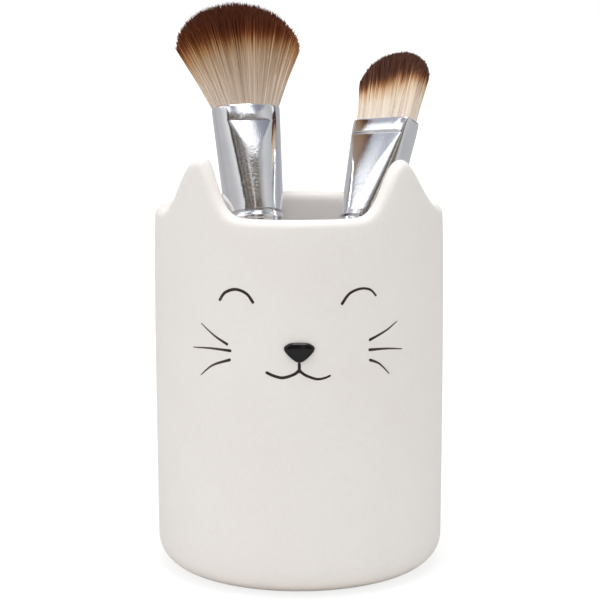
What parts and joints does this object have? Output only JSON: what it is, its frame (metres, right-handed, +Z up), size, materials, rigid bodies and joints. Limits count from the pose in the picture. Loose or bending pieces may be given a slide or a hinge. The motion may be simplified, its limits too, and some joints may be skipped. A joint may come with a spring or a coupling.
{
  "type": "cat-face brush cup with make-up brushes",
  "caption": "Round glazed ceramic cup with cat ears on its rim and an inlaid smiling cat face, holding a round powder brush and a flat foundation brush that lift out.",
  "frame": {"origin": "centre of the cup's flat base, on the surface it stands on", "axes": "+Z up out of the cup; the cat face looks along -Y; +X to the right seen from the front"},
  "size_m": [0.0822, 0.0927, 0.1604],
  "materials": {
    "glaze": "warm white satin glaze",
    "nose_gloss": "glossy black glaze",
    "enamel": "very dark brown underglaze in shallow grooves",
    "powder_hair": "soft synthetic hair, beige at the root and dark reddish brown at the tips",
    "foundation_hair": "soft synthetic hair, cream with dark brown tips",
    "ferrule_metal": "polished",
    "glue": "cured resin, hidden",
    "lacquered_wood": "dark brown gloss lacquer"
  },
  "bodies": {
    "cup": {"cup_body": "glaze", "nose": "nose_gloss", "mouth_line": "enamel", "left_eye_line": "enamel", "right_eye_line": "enamel", "left_whisker_1": "enamel", "left_whisker_2": "enamel", "left_whisker_3": "enamel", "right_whisker_1": "enamel", "right_whisker_2": "enamel", "right_whisker_3": "enamel"},
    "powder_brush": {"powder_brush_hair": "powder_hair", "powder_brush_ferrule": "ferrule_metal", "powder_brush_root_plug": "glue", "powder_brush_handle": "lacquered_wood"},
    "foundation_brush": {"foundation_brush_hair": "foundation_hair", "foundation_brush_ferrule": "ferrule_metal", "foundation_brush_root_plug": "glue", "foundation_brush_handle": "lacquered_wood"}
  },
  "joints": [
    {"name": "powder_brush_lift", "type": "slide", "parent": "cup", "child": "powder_brush", "axis": [-0.081, 0.3398, 0.937], "range_m": [0, 0.125]},
    {"name": "foundation_brush_lift", "type": "slide", "parent": "cup", "child": "foundation_brush", "axis": [0.1991, 0.3744, 0.9056], "range_m": [0, 0.13]}
  ]
}
